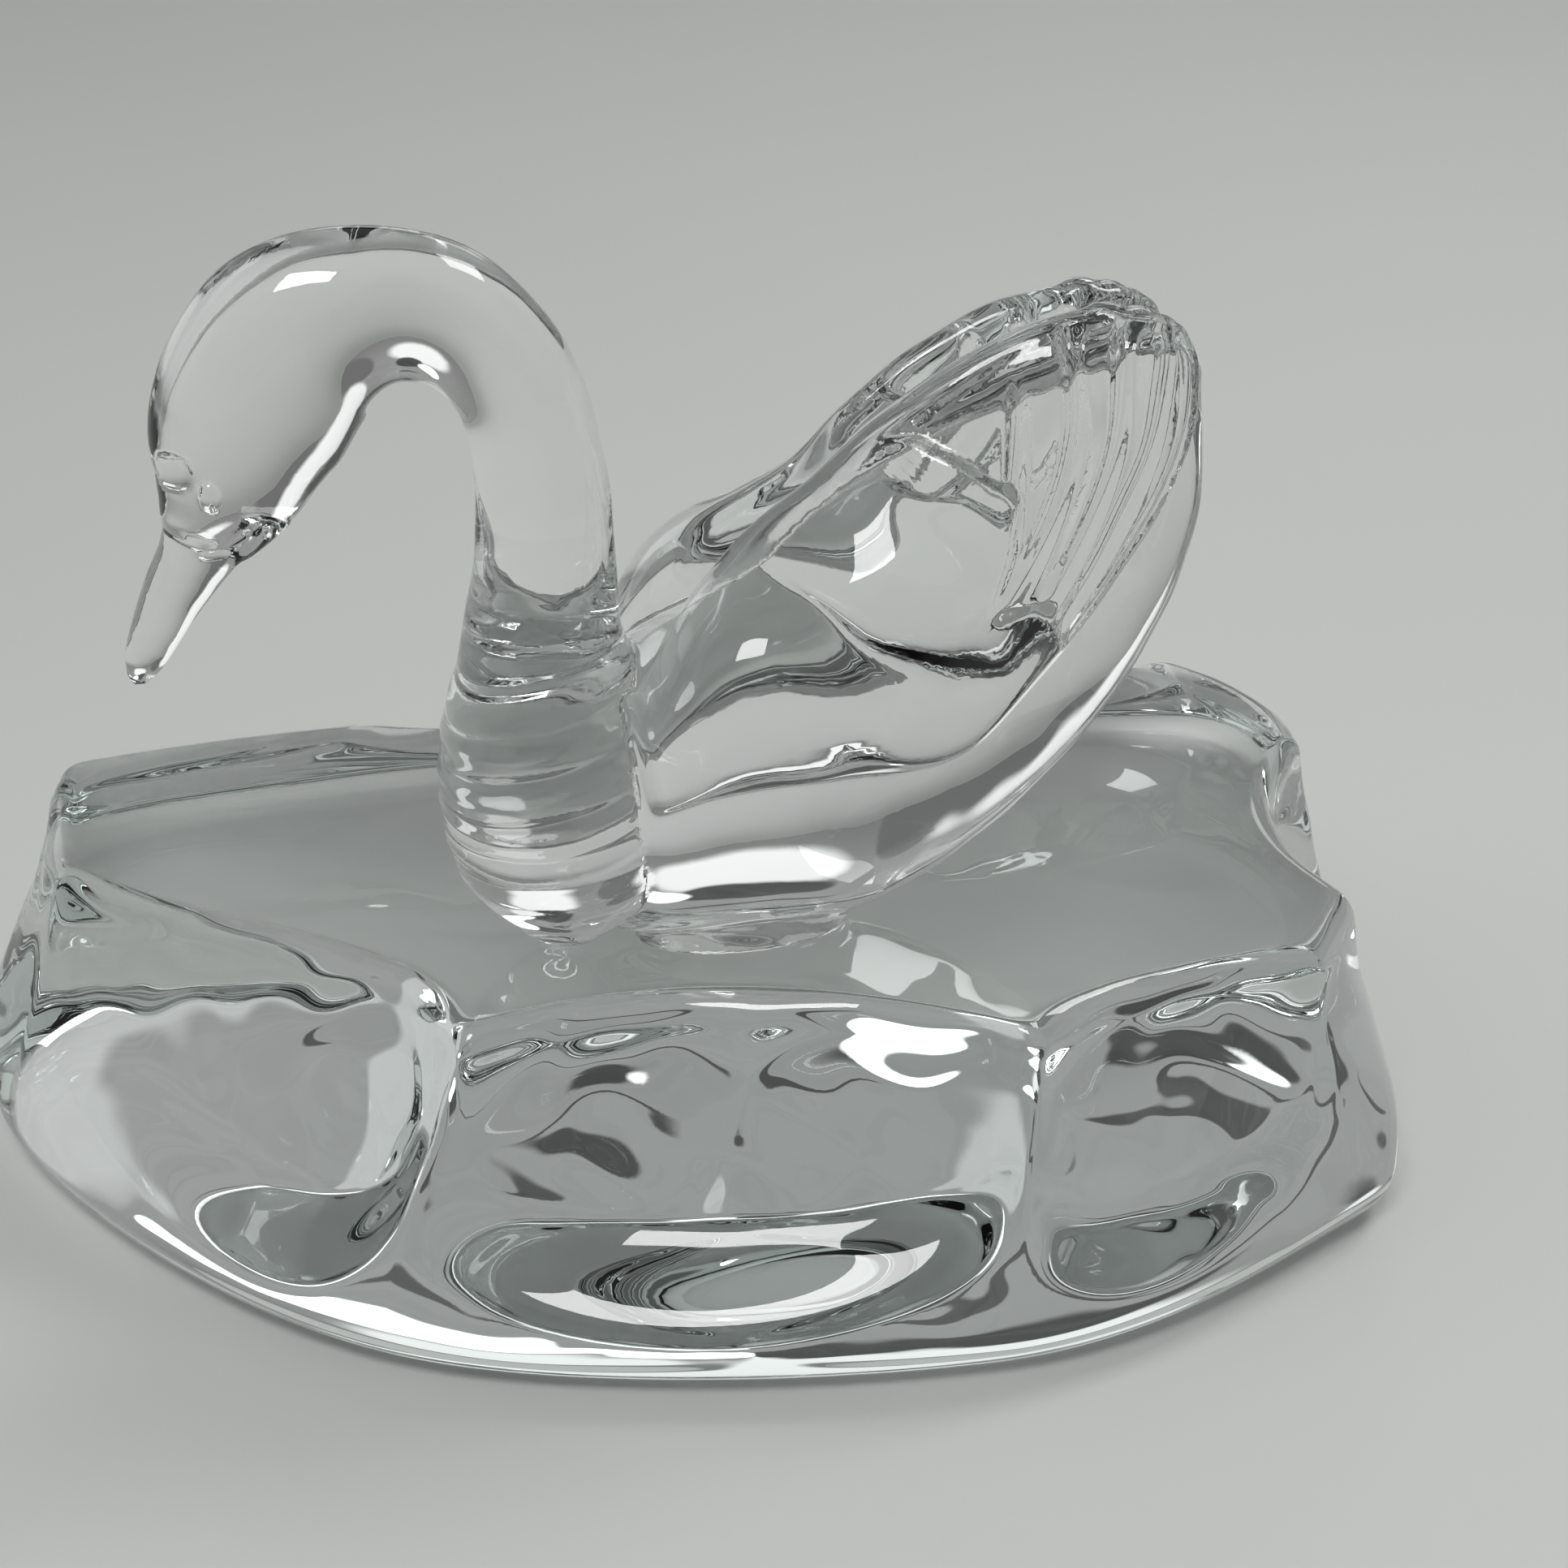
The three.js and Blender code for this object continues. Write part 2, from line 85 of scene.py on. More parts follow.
# %% Closed skins from rings
def skin(rings, start, end):
    """Points and triangles of a closed skin. rings has the shape (rings, sides, 3). The first ring closes on
    the point start and the last one on end. The triangles are turned so that the volume is positive."""
    count, sides, _ = rings.shape
    points = np.vstack([[start], rings.reshape(-1, 3), [end]])
    side = np.arange(sides)
    after = (side + 1) % sides
    ring = 1 + sides * np.arange(count - 1)[:, None]
    a, b = ring + side, ring + after
    c, d = b + sides, a + sides
    walls = np.concatenate([np.stack([a, b, c], -1).reshape(-1, 3), np.stack([a, c, d], -1).reshape(-1, 3)])
    first = np.stack([np.zeros(sides, int), 1 + after, 1 + side], -1)
    top = 1 + sides * (count - 1)
    final = np.stack([np.full(sides, len(points) - 1), top + side, top + after], -1)
    faces = np.concatenate([first, walls, final])
    p, q, r = (points[faces[:, k]] for k in range(3))
    if np.einsum("ij,ij->i", p, np.cross(q, r)).sum() < 0:
        faces = faces[:, ::-1]
    return points, faces


def mesh_object(name, points, faces):
    """A smooth-shaded object at the origin from points in millimetres and triangles."""
    mesh = bpy.data.meshes.new(name)
    mesh.from_pydata((points * MM).tolist(), [], faces.tolist())
    mesh.polygons.foreach_set("use_smooth", np.ones(len(mesh.polygons), bool))
    mesh.update()
    piece = bpy.data.objects.new(name, mesh)
    bpy.context.scene.collection.objects.link(piece)
    print(name, len(mesh.vertices), "points,", len(mesh.polygons), "faces")
    return piece


# %% [markdown]
# ## The block
# On the real piece the block is pressed and then ground: its top is dead flat, its foot is a soft oval, and
# its sides are scooped between upright ridges, like ice that has melted in hollows. It could be carved from a
# cube with many cuts, but then every edge would need its own rounding. Here the wall is one surface: the place
# round the block and the height above the foot give each point, and the scoops are a sum taken off it.

# %% The block's sizes and corners
FOOT_ROUND = 6.0
TOP_ROUND = 3.0
RIDGE_ROUND = 1.8
SCOOP_DEPTH = 6.5
SCOOP_RISE = 9.0
SCOOP_END = 8.0
block_length, block_depth, block_height = base_high - base_low
# Ridges anticlockwise from the front left one: place at the foot and at the top, as shares of the half length
# and half depth, how deep the side that follows is scooped and how far along it the scoop is deepest. A scoop
# below nought is a bulge.
CORNERS = np.array([
    [-0.36, -0.935, -0.265, -0.814, 1.0, 0.48],
    [0.44, -0.947, 0.468, -0.808, 0.43, 0.36],
    [0.91, -0.52, 0.845, -0.494, -0.1, 0.5],
    [1.0, -0.255, 0.915, -0.245, 0.82, 0.5],
    [0.99, 0.45, 0.925, 0.47, -0.45, 0.5],
    [0.815, 0.99, 0.767, 0.902, 0.78, 0.5],
    [0.09, 0.845, 0.08, 0.716, 0.6, 0.5],
    [-0.56, 0.676, -0.52, 0.549, -0.12, 0.5],
    [-0.985, 0.37, -0.93, 0.34, -0.16, 0.5],
    [-0.94, -0.255, -0.86, -0.167, 0.75, 0.74],
])

# %% The block's surface
STEPS_A_SIDE = 72
ROUND_STEPS = 14
WALL_STEPS = 62
# Rings that close the flat top, in millimetres in from the end of its rounded edge.
TOP_INSETS = (0.4, 1.5, 5)
# Ripples: how deep they are, how long one is along the wall and up it, how long the bends are that each of the
# two takes from the other direction and how far they shift it, in radians, and the shift of the upward one.
RIPPLE = 0.2
RIPPLE_LENGTHS = (14, 12)
RIPPLE_BENDS = ((23, 1.3), (19, 0.9))
RIPPLE_SHIFT = 0.5


def ripples(round_way, up):
    """Shallow hollows left by the pressing: two crossed sines, one along the wall and one up it, each bent by
    the other's direction. Both places are in millimetres and the result is between -1 and 1."""
    round_turn, up_turn = 2 * np.pi * round_way, 2 * np.pi * up
    (across, across_shift), (upward, upward_shift) = RIPPLE_BENDS
    along_wall = np.sin(round_turn / RIPPLE_LENGTHS[0] + across_shift * np.sin(up_turn / across))
    up_bend = upward_shift * np.sin(round_turn / upward)
    return along_wall * np.sin(up_turn / RIPPLE_LENGTHS[1] + up_bend + RIPPLE_SHIFT)


def soften(ring, reach):
    """A ring smoothed over reach steps to each side, by averaging with a cosine bell round the loop."""
    offsets = np.arange(-reach, reach + 1)
    bell = 1 + np.cos(np.pi * offsets / (reach + 1))
    return sum(w * np.roll(ring, k, axis=0) for k, w in zip(offsets, bell)) / bell.sum()


def block_surface():
    """Points of the block. f is the place along a side and z the height: the plan is the foot's oval at the
    bottom, blends to straight lines between the ridges at the top, and is pulled in by 4g(1-g) times the scoop
    once z is above the scoop's rounded end. g is f to the power that makes it a half at the deepest place."""
    count = len(CORNERS)
    f = np.arange(STEPS_A_SIDE) / STEPS_A_SIDE
    loops = np.vstack([CORNERS[-1:], CORNERS, CORNERS[:2]])
    feet = np.vstack([along(loops[i:i + 4, :2], (1 + f) / 3) for i in range(count)])
    ends = np.vstack([CORNERS, CORNERS[:1]])
    tops = np.vstack([ends[i, 2:4] + (ends[i + 1, 2:4] - ends[i, 2:4]) * f[:, None] for i in range(count)])
    even = np.concatenate([f ** (np.log(0.5) / np.log(deepest)) for deepest in CORNERS[:, 5]])
    middle = 4 * even * (1 - even)
    scoops = np.repeat(CORNERS[:, 4], STEPS_A_SIDE) * middle * SCOOP_DEPTH
    size = np.array([block_length, block_depth])
    low, high = feet.min(0), feet.max(0)
    feet, tops = ((shares - (low + high) / 2) * size / (high - low) for shares in (feet, tops))
    corners = tops[::STEPS_A_SIDE]
    way = np.roll(corners, -1, axis=0) - corners
    inward = np.stack([-way[:, 1], way[:, 0]], -1) / np.linalg.norm(way, axis=1)[:, None]
    inward = np.repeat(inward, STEPS_A_SIDE, axis=0)
    reach = int(round(RIDGE_ROUND * STEPS_A_SIDE / np.linalg.norm(way, axis=1).mean()))
    outward = tops / np.linalg.norm(tops, axis=1)[:, None]
    round_way = np.cumsum(np.linalg.norm(tops - np.roll(tops, 1, axis=0), axis=1))

    def ring(z, inset):
        lean = smoothstep(z, FOOT_ROUND, block_height)
        start = FOOT_ROUND + SCOOP_END * (1 - middle)
        hollow = scoops * smoothstep((z - start) / SCOOP_RISE, 0, 1)
        plan = feet + (tops - feet) * lean + inward * hollow[:, None]
        plan = plan + (soften(plan, reach) - plan) * lean
        plan -= outward * (RIPPLE * ripples(round_way, z) * lean * (1 - inset / TOP_ROUND))[:, None]
        plan *= (1 - inset / np.linalg.norm(plan, axis=1))[:, None]
        return np.column_stack([plan, np.full(len(plan), z)])

    quarter = np.linspace(0, np.pi / 2, ROUND_STEPS)
    wall_top = block_height - TOP_ROUND
    foot = [ring(FOOT_ROUND * (1 - np.cos(a)), FOOT_ROUND * (1 - np.sin(a))) for a in quarter]
    wall = [ring(z, 0) for z in np.linspace(FOOT_ROUND, wall_top, WALL_STEPS)[1:-1]]
    edge = [ring(wall_top + TOP_ROUND * np.sin(a), TOP_ROUND * (1 - np.cos(a))) for a in quarter]
    flat = [ring(block_height, TOP_ROUND + inset) for inset in TOP_INSETS]
    return np.array(foot + wall + edge + flat)


base_centre = np.append((base_low[:2] + base_high[:2]) / 2, base_low[2])
block = block_surface() + base_centre
points, faces = skin(block, base_centre, base_centre + [0, 0, block_height])
ice_base = mesh_object("ice_block", points, faces)

# %% [markdown]
# ## The swan's proportions
# The swan is drawn as rows of numbers in hundredths of its height, in its own middle plane: first the neck from
# the tip of the beak over the arch and down to the breast, then the boat-shaped body, then one wing as a blade
# with a lower and an upper edge. The other wing is the same blade with its sideways numbers turned over.

# %% Rows for the neck and the body
# Neck: along, up, half the thickness in the plane of the neck, half the width across it.
NECK = [
    [-77, 44.4, 1.4, 1.5], [-75.6, 47.6, 2.8, 3.3], [-71.7, 55.2, 4.1, 4.2], [-67.8, 61.4, 5.4, 5.2],
    [-64.2, 68.2, 8.9, 7.6], [-60.8, 77, 11.9, 9], [-54.4, 86.6, 12.1, 9], [-44.6, 90.2, 9.6, 8.6],
    [-35.2, 87.9, 8.4, 8.5], [-28.2, 79.6, 7.8, 8.5], [-25.5, 68.5, 8.1, 8.6], [-25.2, 56.6, 8.8, 8.9],
    [-25.9, 45.5, 10.2, 11], [-25.2, 34, 14, 16.3], [-24.4, 22.5, 15.4, 18.6], [-24.6, 12, 13.3, 16.3],
    [-25, 4.5, 6.4, 9.4],
]
# Body: the keel along and up, the back along and up, half the width.
HULL = [
    [-22.5, 4.2, -22.5, 33.8, 12.7], [-14, 0.9, -13, 43, 18], [0, 0.6, 0, 49, 20.5],
    [15.5, 1, 11.3, 57.7, 20], [30, 8, 19.5, 64, 16.8], [44.4, 20, 29.6, 69.7, 12.7],
    [55.5, 35, 40, 74, 9], [62.3, 53.5, 49.3, 77.5, 6.8], [61.4, 74.6, 58.5, 78.9, 3.7],
]

# %% Rows for a wing
# Lower edge along, out and up, upper edge along, out and up, bulge of the outer face, half the thickness.
WING = [
    [-13.4, 16.6, 25.8, -15.5, 9.9, 40.8, 3, 4.2], [-7, 19.8, 29.5, -10.6, 8.5, 49, 5.2, 5],
    [8, 20.8, 31, -4.5, 6.5, 56, 6.6, 5], [24, 19.2, 31, 2.1, 4, 61, 7, 4.8],
    [37, 14.8, 40, 8.1, 3.6, 65, 6.4, 4.6], [48.6, 11.3, 52.4, 14.8, 4.2, 71.6, 5, 4.2],
    [56.8, 8.4, 64.8, 24, 5.2, 78.3, 3.8, 4], [58.8, 6.8, 76.3, 34.5, 5.6, 83.5, 2.8, 3.6],
    [57.2, 5.8, 81.6, 43.6, 5.1, 85.4, 1.8, 2.8],
]
# The smooth covert ends in a stepped line: the rib at which it ends, for each tenth of the way from the lower
# edge to the upper one.
COVERT_LINE = [4.28, 4.42, 4.45, 4.2, 4.7, 5.18, 5.22, 5.27, 5.26, 5.2, 4.7]
COVERT_STEP = 1.1
FEATHERS_FROM = 4.1
# Each groove between feathers: its share of the way from the lower edge to the upper one where it leaves the
# covert, half way and at the tip, and the rib at which it fades out.
GROOVES = np.array([
    [0.02, 0.045, 0.1, 9], [0.075, 0.19, 0.29, 9], [0.15, 0.33, 0.635, 9], [0.27, 0.495, 1.02, 7.7],
    [0.32, 0.72, 1.25, 6.4],
])
GROOVE_HALF = 2.0
GROOVE_DEPTH = 1.0
GROOVE_FADE = 0.4
# How far the covert's edge is spread along the ribs, and how far from the upper edge its step is full.
COVERT_SOFT = 0.09
STEP_FADE = 0.12
# A wing's two ends: how far each rounded end reaches past its last rib, and the way in which it points.
TIP_REACH = 2.0
TIP_ARCH = 0.5
TIP_NOTCH = 0.35
TIP_WAY = np.array([0.27, 0, 0.96])
SHOULDER_REACH = 3.0
SHOULDER_WAY = np.array([-0.79, -0.4, -0.46])
END_LENGTH_LEFT = 0.9

# %% The neck and the body as rings
# The face swells a little where the beak leaves it, along a line that runs back to the corners of the mouth.
FACE_ROW = 3.15
FACE_STEP = 0.07
MOUTH_TURN = np.radians(118)
MOUTH_REACH = 0.7
MOUTH_WIDTH = 0.25
FACE_SOFT = 0.1
FACE_MIDDLE = 0.7
# Faint bands run across the breast, where the hot glass was gathered.
BAND_ROWS = 0.47
BAND_HEIGHT = 0.008
BAND_BEND = 0.25
BANDS_START = (11.4, 12.4)
BANDS_END = (14.6, 15.6)
# Where the two ends of the neck's skin close, along and up from the first and the last row.
BEAK_END = (-0.5, -1)
ROOT_END = (0.6, -3)


def neck_surface(rings=300, sides=96):
    """Ellipses square to the neck's curve: the centre plus cos(turn) times the thickness along the curve's
    normal, which stays in the middle plane, plus sin(turn) times the width sideways."""
    t = np.linspace(0, 1, rings)
    x, z, deep, wide = along(NECK, t).T
    step = 0.004
    way = (along(NECK, t + step) - along(NECK, t - step))[:, :2]
    way /= np.linalg.norm(way, axis=1)[:, None]
    turn = np.linspace(-np.pi, np.pi, sides, endpoint=False)
    mouth = np.exp(-((np.abs(turn) - MOUTH_TURN) / MOUTH_WIDTH) ** 2)
    row = t[:, None] * (len(NECK) - 1)
    face = smoothstep(row - FACE_ROW - MOUTH_REACH * mouth, -FACE_SOFT, FACE_SOFT)
    banded = smoothstep(row, *BANDS_START) * (1 - smoothstep(row, *BANDS_END))
    bands = banded * np.sin(2 * np.pi * (row + BAND_BEND * np.cos(turn)) / BAND_ROWS)
    swell = 1 + FACE_STEP * (face - FACE_MIDDLE) + BAND_HEIGHT * bands
    out = deep[:, None] * swell * np.cos(turn)
    aside = wide[:, None] * swell * np.sin(turn)
    grid = np.stack([x[:, None] - way[:, 1:] * out, aside, z[:, None] + way[:, :1] * out], -1)
    ends = [[row[0] + end[0], 0, row[1] + end[1]] for row, end in ((NECK[0], BEAK_END), (NECK[-1], ROOT_END))]
    return skin(grid, *ends)


HULL_FULLNESS = 0.85
HULL_WIDEST = 0.62


def hull_surface(rings=160, sides=120):
    """Leaning ovals from the keel to the back: the width follows the sine of the turn to a power under one,
    which makes them fuller than ellipses, and the height goes up by a power that puts the widest place at its
    share of the way, so that the sides draw in towards the keel."""
    xk, zk, xb, zb, wide = along(HULL, np.linspace(0, 1, rings)).T[:, :, None]
    turn = np.linspace(0, 2 * np.pi, sides, endpoint=False)
    up = ((1 - np.cos(turn)) / 2) ** (np.log(HULL_WIDEST) / np.log(0.5))
    out = wide * np.sign(np.sin(turn)) * np.abs(np.sin(turn)) ** HULL_FULLNESS
    grid = np.stack([xk + (xb - xk) * up, out, zk + (zb - zk) * up], -1)
    ends = [[(row[0] + row[2]) / 2, 0, (row[1] + row[3]) / 2] for row in (HULL[0], HULL[-1])]
    return skin(grid, *ends)


# %% [markdown]
# ## A wing
# Each wing is pressed as one thick blade: a smooth covert in front, which bulges like a shell, and behind its
# stepped edge a fan of long feathers. Feathers could be made one by one and laid over each other, but cast glass
# has no gaps. So the blade is one closed skin over nine ribs, and the feathers are carved into it afterwards.

# %% A wing as a blade
RIBS = len(WING) - 1
EDGE_POWER = 2.2


def wing_place(station, q):
    """Points and outward directions of a wing's ribs. station counts the ribs and q is the share of the way
    from the lower edge to the upper one. Also gives the bulge 4q(1-q) and the half thickness
    (1-|2q-1|^p)^(1/p), both in hundredths of the height, and the rib's length."""
    rows = along(WING, np.ravel(station) / RIBS).reshape(np.shape(station) + (8,))
    low, high = rows[..., :3], rows[..., 3:6]
    length = np.linalg.norm(high - low, axis=-1)
    chord = (high - low) / length[..., None]
    out = np.array([0, 1, 0]) - chord * chord[..., 1:2]
    out /= np.linalg.norm(out, axis=-1, keepdims=True)
    shape = (1 - np.abs(2 * q - 1) ** EDGE_POWER) ** (1 / EDGE_POWER)
    place = low + (high - low) * q[..., None]
    return place, out, rows[..., 6] * 4 * q * (1 - q), rows[..., 7] * shape, length


def outer_face(station, q):
    """The wing's smooth outer face: the rib plus the bulge and the half thickness."""
    place, out, bulge, half, _ = wing_place(station, q)
    return place + out * (bulge + half)[..., None]


def groove(station, q, length):
    """Depth of the nearest groove, 0 to 1: (1-u^2)^2 across the groove, whose width is the same all the way."""
    spread = (np.ravel(station) - FEATHERS_FROM) / (RIBS - FEATHERS_FROM)
    lines = along(GROOVES[:, :3].T, spread).reshape(np.shape(station) + (len(GROOVES),))
    off = np.abs(q[..., None] - lines) * length[..., None] / GROOVE_HALF
    fade = 1 - smoothstep(station[..., None], GROOVES[:, 3] - GROOVE_FADE, GROOVES[:, 3])
    return (np.clip(1 - off * off, 0, 1) ** 2 * fade).max(-1)


def rounded_end(station, shares, face, way, reach, rings=10):
    """Rings past a wing's last rib: face shrinks with cos(a) to the rib's middle line, a little shortened,
    which moves on with sin(a) times reach."""
    line = wing_place(np.full(shares.shape, float(station)), shares)[0]
    core = line[len(line) // 3] + (line - line[len(line) // 3]) * END_LENGTH_LEFT
    turn = np.linspace(0, np.pi / 2, rings + 1)[1:, None, None]
    return core + (face - core) * np.cos(turn) + way * np.reshape(reach, (-1, 1)) * np.sin(turn)


def wing_surface(side, rings=240, outer=140, inner=60):
    """Ribs out along the outer face and back along the inner one, with a quarter round at each end. The tip's
    reach follows 4q(1-q) to a power, so that its edge arches, and is a little less in the grooves."""
    station = np.linspace(0, RIBS, rings)[:, None]
    q, back = np.linspace(0, 1, outer)[None, :], np.linspace(1, 0, inner + 2)[None, 1:-1]
    outer_part = outer_face(station + 0 * q, q + 0 * station)
    place, out, _, half, _ = wing_place(station + 0 * back, back + 0 * station)
    grid = np.concatenate([outer_part, place - out * half[..., None]], axis=1)
    shares = np.concatenate([q[0], back[0]])
    tip_ribs = np.full(shares.shape, float(RIBS))
    notch = TIP_NOTCH * groove(tip_ribs, shares, wing_place(tip_ribs, shares)[4])
    arch = (4 * shares * (1 - shares)) ** TIP_ARCH
    front = rounded_end(0, shares, grid[0], SHOULDER_WAY, SHOULDER_REACH)[::-1]
    tip = rounded_end(RIBS, shares, grid[-1], TIP_WAY, (TIP_REACH - notch) * arch)
    grid = np.concatenate([front, grid, tip]) * [1, side, 1]
    inside = [(ends[outer // 2] + ends[outer + inner // 2]) / 2 for ends in (grid[12], grid[-13])]
    return skin(grid, *inside)


# %% [markdown]
# ## Feathers
# The carving comes after the remesh and the smoothing, because those would melt it away. Each point of the
# finished mesh is looked up on the wing's smooth face, and moves inwards by the step and the grooves there.

# %% Feathers carved into the outer face
def carved(points, coarse=(70, 40), near=0.4, far=1.2):
    """Moves the points that lie on a wing's outer face inwards, by the step behind the covert and the grooves
    between the feathers. Each point's rib and share come from the nearest of a coarse grid, then from a few
    rounds of least squares along the face's two directions. Points further than near are moved less. On the
    rounded tip the relief flattens out with the height that is left over the wing's middle."""
    folded = points.copy()
    folded[:, 1] = np.abs(folded[:, 1])
    ribs = np.linspace(FEATHERS_FROM - 0.3, RIBS, coarse[0])
    stations, shares = np.meshgrid(ribs, np.linspace(0, 1, coarse[1]))
    grid = outer_face(stations, shares).reshape(-1, 3)
    inside = ((folded > grid.min(0) - far) & (folded < grid.max(0) + far)).all(1)
    chosen = np.flatnonzero(inside)
    p = folded[chosen]
    nearest = np.concatenate([(((grid ** 2).sum(1) - 2 * part @ grid.T)).argmin(1)
                              for part in np.array_split(p, len(p) // 4000 + 1)])
    s, q = stations.ravel()[nearest], shares.ravel()[nearest]
    step = 0.01
    for _ in range(5):
        here = outer_face(s, q)
        inner_q = np.clip(q, step, 1 - step)
        by_s = (outer_face(s + step, q) - outer_face(s - step, q)) / (2 * step)
        by_q = (outer_face(s, inner_q + step) - outer_face(s, inner_q - step)) / (2 * step)
        miss = p - here
        a, b, c = (by_s ** 2).sum(1), (by_s * by_q).sum(1), (by_q ** 2).sum(1)
        d, e = (by_s * miss).sum(1), (by_q * miss).sum(1)
        det = a * c - b * b + 1e-9
        s = np.clip(s + np.clip((c * d - b * e) / det, -0.3, 0.3), 0, RIBS)
        q = np.clip(q + np.clip((a * e - b * d) / det, -0.1, 0.1), 0, 1)
    place, out, bulge, half, length = wing_place(s, q)
    height = bulge + half + 1e-6
    lift = np.clip(((p - place) * out).sum(1) / height, 0, 1)
    past_tip = (s > RIBS - 1e-3)[:, None]
    miss = p - outer_face(s, q)
    miss -= past_tip * np.maximum((miss @ TIP_WAY)[:, None], 0) * TIP_WAY
    miss += past_tip * ((1 - lift) * height)[:, None] * out
    away = np.linalg.norm(miss, axis=1)
    past = s - along(np.array(COVERT_LINE)[:, None], q)[:, 0]
    fluted = smoothstep(past, -COVERT_SOFT, COVERT_SOFT)
    shape = half / along(WING, s / RIBS)[:, 7]
    depth = COVERT_STEP * smoothstep(1 - q, 0, STEP_FADE) * shape
    depth += GROOVE_DEPTH * groove(s, q, length) * np.minimum(1, 2 * shape)
    depth *= fluted * lift * (1 - smoothstep(away, near, far))
    folded[chosen] -= out * depth[:, None]
    folded[:, 1] *= np.sign(points[:, 1])
    print("carved", int((depth > 0.02).sum()), "points, deepest", round(float(depth.max()), 2), "hundredths")
    return folded


# %% [markdown]
# ## Eyes, nostrils and foot
# The face has three small raised beads on each side: the eye, the nostril and the corner of the mouth. They are
# pushed out of the finished mesh, so that they stay crisp and the swan stays one skin. An oval foot under the
# body carries the swan on the block.

# %% Eyes and foot
SWAN_HEIGHT = 71.0
EYE_DIAMETER = 2.6
EYE_PLACE = [-66.3, 7.2, 70.4]
# Beads that are raised from the head once it is smooth, because smoothing would melt them away: place in
# hundredths of the swan's height, half sizes in millimetres.
BEADS = [
    (EYE_PLACE, [EYE_DIAMETER * 0.42, EYE_DIAMETER * 0.5, EYE_DIAMETER * 0.62]),
    ([-66.3, 5.1, 62.0], [1.4, 0.8, 0.6]),
    ([-61.6, 6.4, 65.2], [0.85, 0.8, 0.85]),
]
# Nothing is raised from nearer a bead's centre than this share of its size.
LEAST_SHARE = 0.05
# The foot's length and width, and how far it reaches up into the body.
SWAN_FOOT = [21.0, 11.0, 3.0]


def beaded(points):
    """Points in millimetres with each bead raised: where one lies inside a bead's oval, it moves straight away
    from the oval's centre until it is on the oval."""
    for place, half in BEADS:
        for side in (1, -1):
            centre = np.array(place) * [1, side, 1] * SWAN_HEIGHT / 100
            away = points - centre
            share = np.linalg.norm(away / half, axis=1)[:, None]
            points = np.where(share < 1, centre + away / np.maximum(share, LEAST_SHARE), points)
    return points


def foot_surface(sink, sides=96):
    """An oval plug from sink under the swan's underside up into its body."""
    length, width, height = SWAN_FOOT
    turn = np.linspace(0, 2 * np.pi, sides, endpoint=False)
    oval = np.stack([np.cos(turn) * length / 2, np.sin(turn) * width / 2, 0 * turn], -1)
    grid = np.array([oval + [0, 0, z] for z in np.linspace(-sink, height, 8)])
    return skin(grid, [0, 0, -sink], [0, 0, height])


# %% [markdown]
# ## One skin for the swan
# The swan is cast in one, so its neck, body and wings have to run into each other with small soft fillets. A
# Boolean union would leave hard seams. A voxel remesh takes all the overlapping skins, keeps only the outside
# and gives one even mesh, and a few rounds of smoothing melt the seams as the fire polish does on glass.

# %% Join, remesh and smooth
VOXEL = 0.3
SMOOTH_ROUNDS = 30
MOST_TRIANGLES = 192000


def evaluated(piece):
    """Points, triangles and edges of an object with its modifiers applied. The object is removed."""
    mesh = bpy.data.meshes.new_from_object(piece.evaluated_get(bpy.context.evaluated_depsgraph_get()))
    mesh.calc_loop_triangles()
    triangles = np.zeros(len(mesh.loop_triangles) * 3, np.int32)
    mesh.loop_triangles.foreach_get("vertices", triangles)
    coords = np.zeros(len(mesh.vertices) * 3, np.float32)
    mesh.vertices.foreach_get("co", coords)
    edges = np.zeros(len(mesh.edges) * 2, np.int32)
    mesh.edges.foreach_get("vertices", edges)
    bpy.data.objects.remove(piece)
    bpy.data.meshes.remove(mesh)
    return coords.reshape(-1, 3).astype(float), triangles.reshape(-1, 3), edges.reshape(-1, 2)


def remeshed(shapes, voxel):
    """The outside of all the shapes together, in steps of one voxel."""
    counts = np.cumsum([0] + [len(points) for points, _ in shapes])
    points = np.vstack([points for points, _ in shapes])
    faces = np.vstack([faces + start for (_, faces), start in zip(shapes, counts)])
    mesh = bpy.data.meshes.new("swan_shapes")
    mesh.from_pydata(points.tolist(), [], faces.tolist())
    rough = bpy.data.objects.new("swan_shapes", mesh)
    bpy.context.scene.collection.objects.link(rough)
    remesh = rough.modifiers.new("remesh", "REMESH")
    remesh.mode, remesh.voxel_size = "VOXEL", voxel
    return evaluated(rough)


def smoothed(points, edges, rounds, inward=0.55, outward=-0.57):
    """Each round moves every point towards the mean of its neighbours and then a little further back, which
    takes the steps of the voxels away without shrinking the shape."""
    a, b = edges.T
    degree = np.bincount(np.concatenate([a, b]), minlength=len(points))[:, None]
    for _ in range(rounds):
        for amount in (inward, outward):
            total = np.stack([np.bincount(a, points[b, k], len(points))
                              + np.bincount(b, points[a, k], len(points)) for k in range(3)], -1)
            points = points + amount * (total / degree - points)
    return points


def thinned(points, faces, most):
    """The same surface with at most so many triangles. Flat stretches lose theirs first, so that the grooves
    and beads keep their small ones."""
    dense = mesh_object("swan_dense", points, faces)
    fewer = dense.modifiers.new("fewer", "DECIMATE")
    fewer.ratio = min(1, most / len(faces))
    points, faces, _ = evaluated(dense)
    return points / MM, faces


